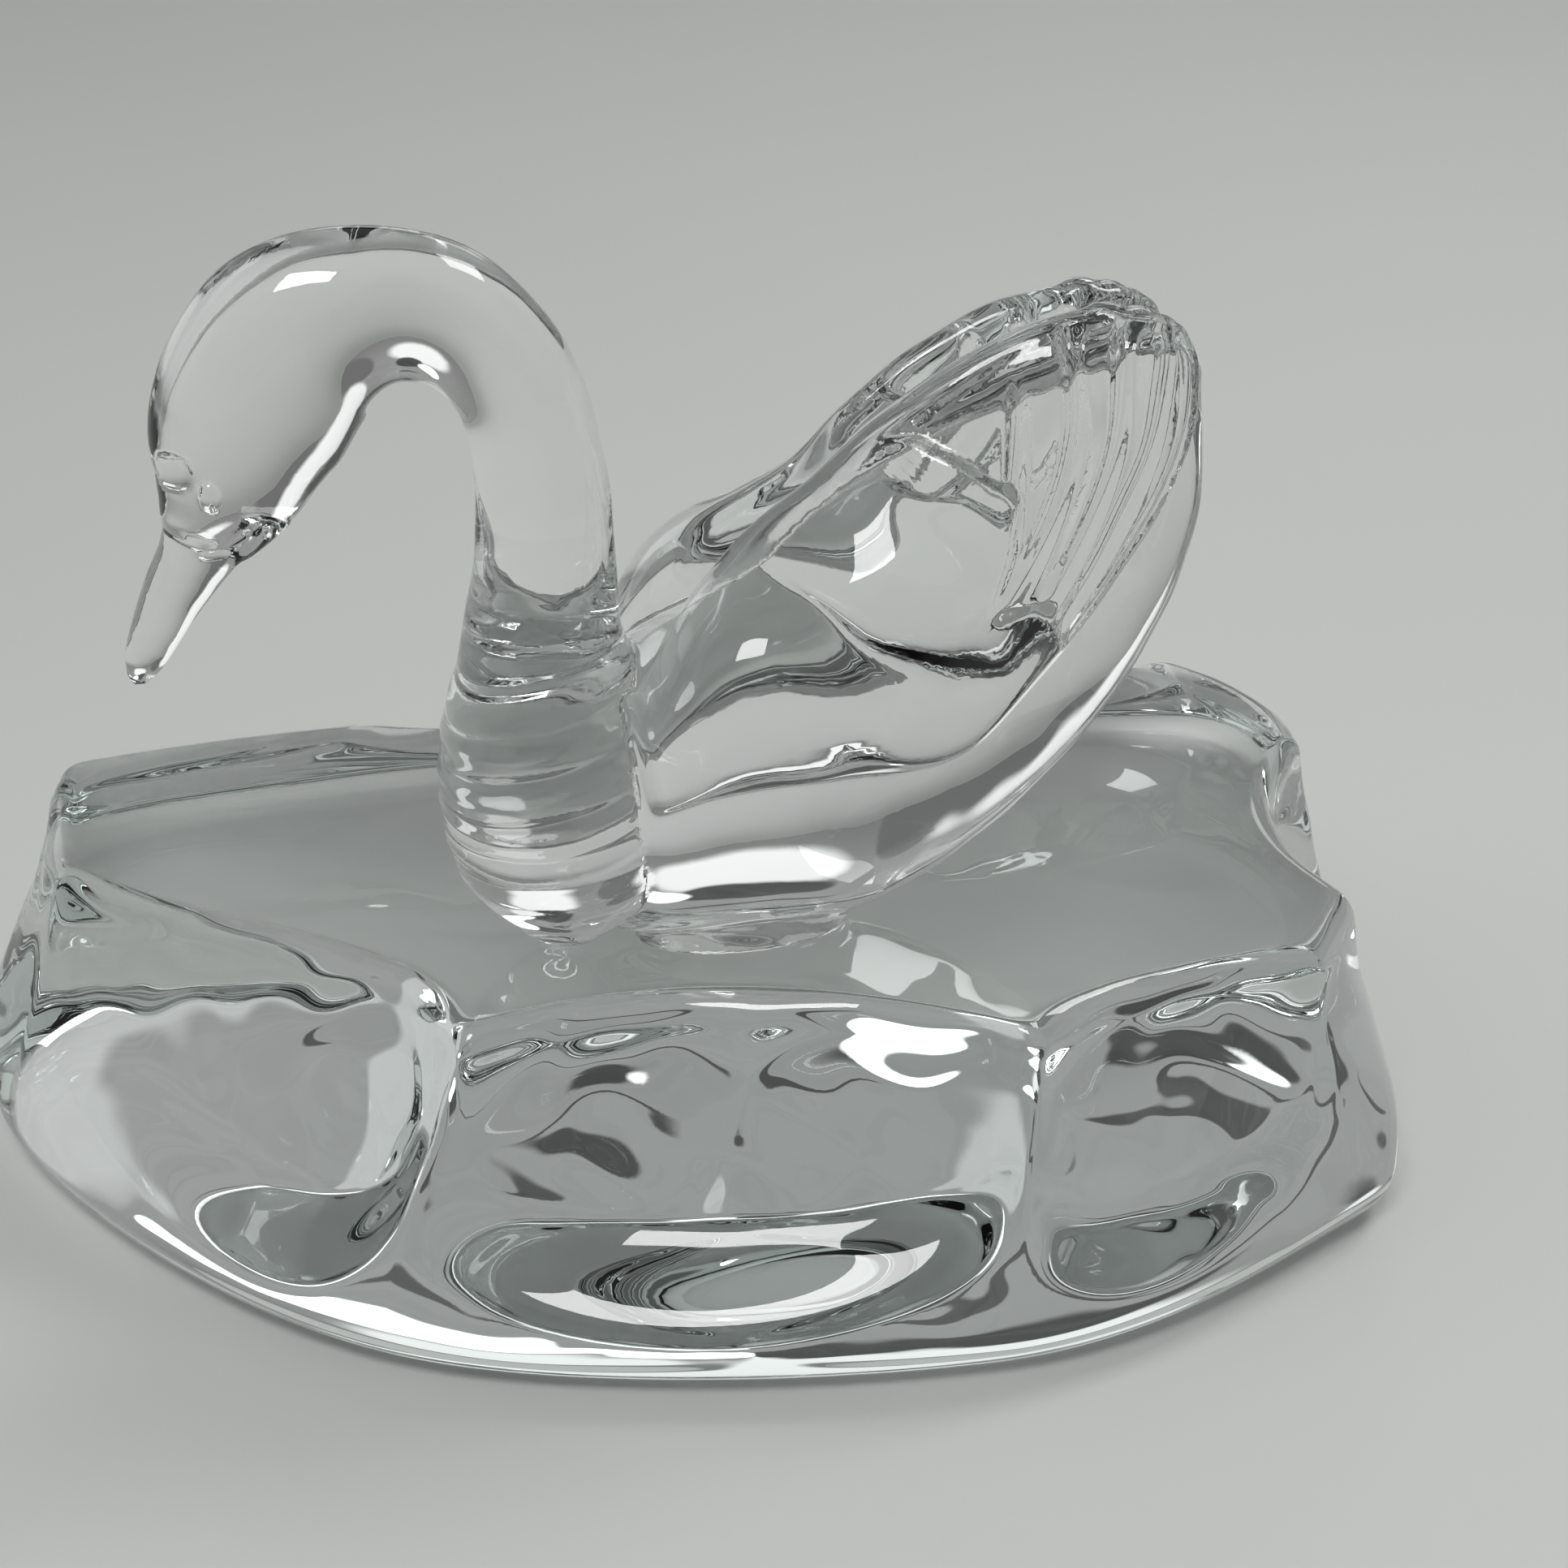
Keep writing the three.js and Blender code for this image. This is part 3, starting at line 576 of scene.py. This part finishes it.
# %% The unevenness of fire-polished glass
# How far the surface wanders, in millimetres, how tight the waves are, the shift from one to the next, and the
# directions in which they run.
UNEVEN = 0.045
UNEVEN_TIGHTNESS = 0.75
UNEVEN_SHIFT = 1.9
UNEVEN_WAYS = np.array([
    [0.9, 0.3, 0.5], [-0.4, 0.8, 0.6], [0.5, -0.7, 0.8], [0.2, 0.6, -1.0], [1.0, 0.9, 0.1],
])


def uneven(points, faces):
    """Moves each point along its normal by a sum of slanting sines of about 6 to 9 mm. A point's normal is the
    sum of the normals of its triangles, which are as long as the triangles are large."""
    a, b, c = (points[faces[:, k]] for k in range(3))
    flat = np.cross(b - a, c - a)
    normals = np.stack([np.bincount(faces.ravel(), np.repeat(flat[:, k], 3), len(points)) for k in range(3)], -1)
    normals /= np.linalg.norm(normals, axis=1)[:, None]
    count = len(UNEVEN_WAYS)
    waves = np.sin(points @ UNEVEN_WAYS.T * UNEVEN_TIGHTNESS + np.arange(count) * UNEVEN_SHIFT).sum(1)
    return points + normals * (UNEVEN * waves / count * 2)[:, None]


# %% Put the swan together on the block
HEIGHT_TO_SPARE = 0.01
SWAN_PLACE = np.array([7.0, -20.0])
SWAN_TURN = np.radians(13)
BOND = 0.15
hundredth = SWAN_HEIGHT / 100

shapes = [neck_surface(), hull_surface(), wing_surface(1), wing_surface(-1)]
shapes = [(points * hundredth, faces) for points, faces in shapes]
shapes.append(foot_surface(swan_low[2] - block_height + BOND))
points, faces, edges = remeshed(shapes, VOXEL)
points = smoothed(points, edges, SMOOTH_ROUNDS)
points = carved(points / hundredth) * hundredth
points = beaded(uneven(points, faces))
points, faces = thinned(points, faces, MOST_TRIANGLES)
# The remesh lands a few hundredths of a millimetre off, so the swan is fitted to the height that it has in the
# frame, which the crown of its neck sets.
points[:, 2] *= (swan_high[2] - swan_low[2] - HEIGHT_TO_SPARE) / points[:, 2].max()
turn = np.array([[np.cos(SWAN_TURN), -np.sin(SWAN_TURN)], [np.sin(SWAN_TURN), np.cos(SWAN_TURN)]])
points[:, :2] = points[:, :2] @ turn.T + SWAN_PLACE
points[:, 2] += swan_low[2]
swan = mesh_object("crystal_swan", points, faces)
print("swan in mm", points.min(0), points.max(0))

# %% [markdown]
# ## Crystal
# Clear crystal has next to no colour of its own. It bends light strongly, throws back a little of it at every
# surface, and only its thickest parts turn faintly grey-green. So transmission, index and metallic are plain
# numbers on the Principled shader, a thin absorption fills the volume, and a shared node group adds what
# the eye still finds on a polished surface: very shallow waves from the fire polish and a breath of smudges.

# %% Node group with waves and smudges
def fire_polish_group():
    """Scale in, height of the waves and roughness out."""
    group = bpy.data.node_groups.new("fire_polish", "ShaderNodeTree")
    for name, value in (("Wave Scale", 60.0), ("Smudge Scale", 90.0), ("Low", 0.0), ("High", 0.03)):
        socket = group.interface.new_socket(name, in_out="INPUT", socket_type="NodeSocketFloat")
        socket.default_value = value
    for name in ("Height", "Roughness"):
        group.interface.new_socket(name, in_out="OUTPUT", socket_type="NodeSocketFloat")
    nodes, links = group.nodes, group.links
    entry, leave = nodes.new("NodeGroupInput"), nodes.new("NodeGroupOutput")
    place = nodes.new("ShaderNodeTexCoord")
    waves, smudges = nodes.new("ShaderNodeTexNoise"), nodes.new("ShaderNodeTexNoise")
    waves.inputs["Detail"].default_value = 0.0
    smudges.inputs["Detail"].default_value = 0.0
    spread = nodes.new("ShaderNodeMapRange")
    spread.inputs["From Min"].default_value = 0.68
    spread.inputs["From Max"].default_value = 0.8
    for texture, scale in ((waves, "Wave Scale"), (smudges, "Smudge Scale")):
        links.new(place.outputs["Object"], texture.inputs["Vector"])
        links.new(entry.outputs[scale], texture.inputs["Scale"])
    links.new(smudges.outputs["Fac"], spread.inputs["Value"])
    links.new(entry.outputs["Low"], spread.inputs["To Min"])
    links.new(entry.outputs["High"], spread.inputs["To Max"])
    links.new(waves.outputs["Fac"], leave.inputs["Height"])
    links.new(spread.outputs["Result"], leave.inputs["Roughness"])
    return group


fire_polish = fire_polish_group()

# %% The crystal materials
CRYSTAL_IOR = 1.53


def crystal(name, wave_scale, wave_height, smudge, tint, density):
    material = bpy.data.materials.new(name)
    material.use_nodes = True
    nodes, links = material.node_tree.nodes, material.node_tree.links
    shader, output = nodes["Principled BSDF"], nodes["Material Output"]
    shader.inputs["Base Color"].default_value = (1, 1, 1, 1)
    shader.inputs["IOR"].default_value = CRYSTAL_IOR
    shader.inputs["Transmission Weight"].default_value = 1.0
    polish = nodes.new("ShaderNodeGroup")
    polish.node_tree = fire_polish
    polish.inputs["Wave Scale"].default_value = wave_scale
    polish.inputs["High"].default_value = smudge
    bump = nodes.new("ShaderNodeBump")
    bump.inputs["Distance"].default_value = wave_height * MM
    links.new(polish.outputs["Height"], bump.inputs["Height"])
    links.new(bump.outputs["Normal"], shader.inputs["Normal"])
    links.new(polish.outputs["Roughness"], shader.inputs["Roughness"])
    body = nodes.new("ShaderNodeVolumeAbsorption")
    body.inputs["Color"].default_value = (*tint, 1)
    body.inputs["Density"].default_value = density
    links.new(body.outputs["Volume"], output.inputs["Volume"])
    return material


base_crystal = crystal("base_crystal", 45, 0.35, 0.02, (0.72, 0.86, 0.82), 4.0)
swan_crystal = crystal("swan_crystal", 90, 0.12, 0.02, (0.72, 0.86, 0.82), 4.0)
ice_base.data.materials.append(base_crystal)
swan.data.materials.append(swan_crystal)

# %% Tie the pieces to the frame
for piece, node, slot in ((ice_base, "ice_base", "base_crystal"), (swan, "swan", "swan_crystal")):
    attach(piece, "root")
    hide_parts(node)

# %% [markdown]
# ## The stage
# Glass shows its surroundings, so the stage is part of the material: a pale satin table, two soft boxes above,
# and a plain grey room with a few oval panels of light and dark. A wall painted with the photo would be
# quicker, but the panels alone already draw the bright cells and dark lines that the glass bends into view.

# %% Table
FLOOR_SIZE = 12.0
# Glass on a table touches it in a few points only. This hair of air keeps the two surfaces apart.
AIR_UNDER = -0.0002
corner = FLOOR_SIZE / 2
floor_mesh = bpy.data.meshes.new("table")
floor_mesh.from_pydata([(x * corner, y * corner, AIR_UNDER) for x, y in ((-1, -1), (1, -1), (1, 1), (-1, 1))],
                       [], [(0, 1, 2, 3)])
floor = bpy.data.objects.new("table", floor_mesh)
bpy.context.scene.collection.objects.link(floor)
paint = bpy.data.materials.new("table_paint")
paint.use_nodes = True
paint_shader = paint.node_tree.nodes["Principled BSDF"]
paint_shader.inputs["Roughness"].default_value = 0.6
mottle = paint.node_tree.nodes.new("ShaderNodeTexNoise")
mottle.inputs["Scale"].default_value = 9.0
tones = paint.node_tree.nodes.new("ShaderNodeMix")
tones.data_type = "RGBA"
tones.inputs["A"].default_value = (0.71, 0.725, 0.71, 1)
tones.inputs["B"].default_value = (0.74, 0.755, 0.74, 1)
table_place = paint.node_tree.nodes.new("ShaderNodeTexCoord")
paint.node_tree.links.new(table_place.outputs["Object"], mottle.inputs["Vector"])
paint.node_tree.links.new(mottle.outputs["Fac"], tones.inputs["Factor"])
paint.node_tree.links.new(tones.outputs["Result"], paint_shader.inputs["Base Color"])
floor_mesh.materials.append(paint)

# %% Room light
# How bright the room is from the horizon up to the ceiling.
ROOM_HEIGHTS = [(0.0, 0.20), (0.2, 0.28), (0.6, 0.34), (1.0, 0.30)]
# Oval panels in the room: where their middle is, as degrees to the right of straight behind the swan and
# degrees above the horizon, half their width and height, how soft their edge is, and how bright they are.
PANELS = [
    (42, 40, 15, 20, 6, 0.58), (0, 10, 10, 6, 4, 1.0), (-3, 20, 7, 4.5, 2, 0.06), (12, 20.5, 8, 3.6, 1.2, 1.9),
    (-2, 32.5, 9, 0.9, 1.5, 0.08), (-28, 4, 7, 9, 2, 0.14), (-52, 8, 15, 10, 4, 1.0), (78, 20, 13, 14, 5, 0.12),
    (-115, 40, 24, 18, 8, 0.60), (155, 25, 28, 18, 10, 0.08), (-155, 25, 28, 18, 10, 0.08),
]

world = bpy.data.worlds.new("room")
bpy.context.scene.world = world
world.use_nodes = True
world_nodes, world_links = world.node_tree.nodes, world.node_tree.links


def room_math(operation, *values):
    """A Math node on numbers or other nodes' outputs."""
    node = world_nodes.new("ShaderNodeMath")
    node.operation = operation
    for socket, value in zip(node.inputs, values):
        if isinstance(value, bpy.types.NodeSocket):
            world_links.new(value, socket)
        else:
            socket.default_value = value
    return node.outputs["Value"]


def within(view, middle, half, soft):
    """1 inside an oval panel and 0 once it is soft degrees further out. The direction less the middle, over the
    half sizes, has the length 1 on the oval's edge."""
    scale = 180 / np.pi / np.array(half)
    apart = world_nodes.new("ShaderNodeVectorMath")
    apart.operation = "MULTIPLY_ADD"
    apart.inputs[1].default_value = (*scale, 0)
    apart.inputs[2].default_value = (*(-np.radians(middle) * scale), 0)
    length = world_nodes.new("ShaderNodeVectorMath")
    length.operation = "LENGTH"
    fade = world_nodes.new("ShaderNodeMapRange")
    fade.interpolation_type = "SMOOTHSTEP"
    fade.inputs["From Min"].default_value = 1.0
    fade.inputs["From Max"].default_value = 1 + soft / np.sqrt(half[0] * half[1])
    fade.inputs["To Min"].default_value = 1.0
    fade.inputs["To Max"].default_value = 0.0
    world_links.new(view, apart.inputs[0])
    world_links.new(apart.outputs["Vector"], length.inputs[0])
    world_links.new(length.outputs["Value"], fade.inputs["Value"])
    return fade.outputs["Result"]


direction = world_nodes.new("ShaderNodeTexCoord")
axes = world_nodes.new("ShaderNodeSeparateXYZ")
ramp = world_nodes.new("ShaderNodeValToRGB")
world_links.new(direction.outputs["Generated"], axes.inputs["Vector"])
world_links.new(axes.outputs["Z"], ramp.inputs["Fac"])
stops = ramp.color_ramp.elements
while len(stops) < len(ROOM_HEIGHTS):
    stops.new(0.5)
for stop, (height, level) in zip(stops, ROOM_HEIGHTS):
    stop.position, stop.color = height, (level, level * 1.01, level * 0.995, 1)
aside = room_math("ARCTAN2", axes.outputs["X"], axes.outputs["Y"])
above = room_math("ARCSINE", axes.outputs["Z"])
view = world_nodes.new("ShaderNodeCombineXYZ")
world_links.new(aside, view.inputs["X"])
world_links.new(above, view.inputs["Y"])
light = ramp.outputs["Color"]
for middle, height, half_width, half_height, soft, level in PANELS:
    panel = world_nodes.new("ShaderNodeMix")
    panel.data_type = "RGBA"
    mask = within(view.outputs["Vector"], (middle, height), (half_width, half_height), soft)
    world_links.new(mask, panel.inputs["Factor"])
    world_links.new(light, panel.inputs["A"])
    panel.inputs["B"].default_value = (level, level * 1.01, level, 1)
    light = panel.outputs["Result"]
world_links.new(light, world_nodes["Background"].inputs["Color"])


# %% Soft box
def soft_box(name, place, size, radiance, aim=(0, 0, 0.04)):
    """An area light. Its power is its radiance times pi times its area."""
    data = bpy.data.lights.new(name, "AREA")
    data.shape, data.size, data.size_y = "RECTANGLE", *size
    data.energy = radiance * np.pi * size[0] * size[1]
    lamp = bpy.data.objects.new(name, data)
    bpy.context.scene.collection.objects.link(lamp)
    lamp.location = place
    away = lamp.location - type(lamp.location)(aim)
    lamp.rotation_euler = away.to_track_quat("Z", "Y").to_euler()
    return lamp


soft_box("key_light", (0.50, 0.30, 0.80), (0.30, 0.24), 8.0)
soft_box("front_light", (-0.10, -0.60, 0.90), (0.36, 0.26), 12.5)

# %% [markdown]
# ## Camera
# The camera looks down on the swan from in front, close enough for the near edge of the block to look larger
# than the far one. It has no shift and no depth of field, so that it works from any side.

# %% Camera
CAMERA_PLACE = (0.0110994, -0.2699193, 0.1711450)
CAMERA_DOWN = 26.0
CAMERA_FIELD = 30.0
camera_data = bpy.data.cameras.new("camera")
camera_data.sensor_fit = "HORIZONTAL"
camera_data.angle = np.radians(CAMERA_FIELD)
camera_data.clip_start = 0.01
camera = bpy.data.objects.new("camera", camera_data)
bpy.context.scene.collection.objects.link(camera)
camera.location = CAMERA_PLACE
camera.rotation_euler = (np.radians(90 - CAMERA_DOWN), 0, 0)
bpy.context.scene.camera = camera

# %% [markdown]
# ## Light paths
# A ray crosses many glass walls before it reaches the room. The bounces are held at eight, of which six may be
# glossy, reflective caustics are off and indirect light is clamped.

# %% Bounces and tone
scene = bpy.context.scene
scene.cycles.max_bounces = 8
scene.cycles.transmission_bounces = 8
scene.cycles.glossy_bounces = 6
scene.cycles.caustics_reflective = False
scene.cycles.sample_clamp_indirect = 4.0
scene.view_settings.view_transform = "Standard"
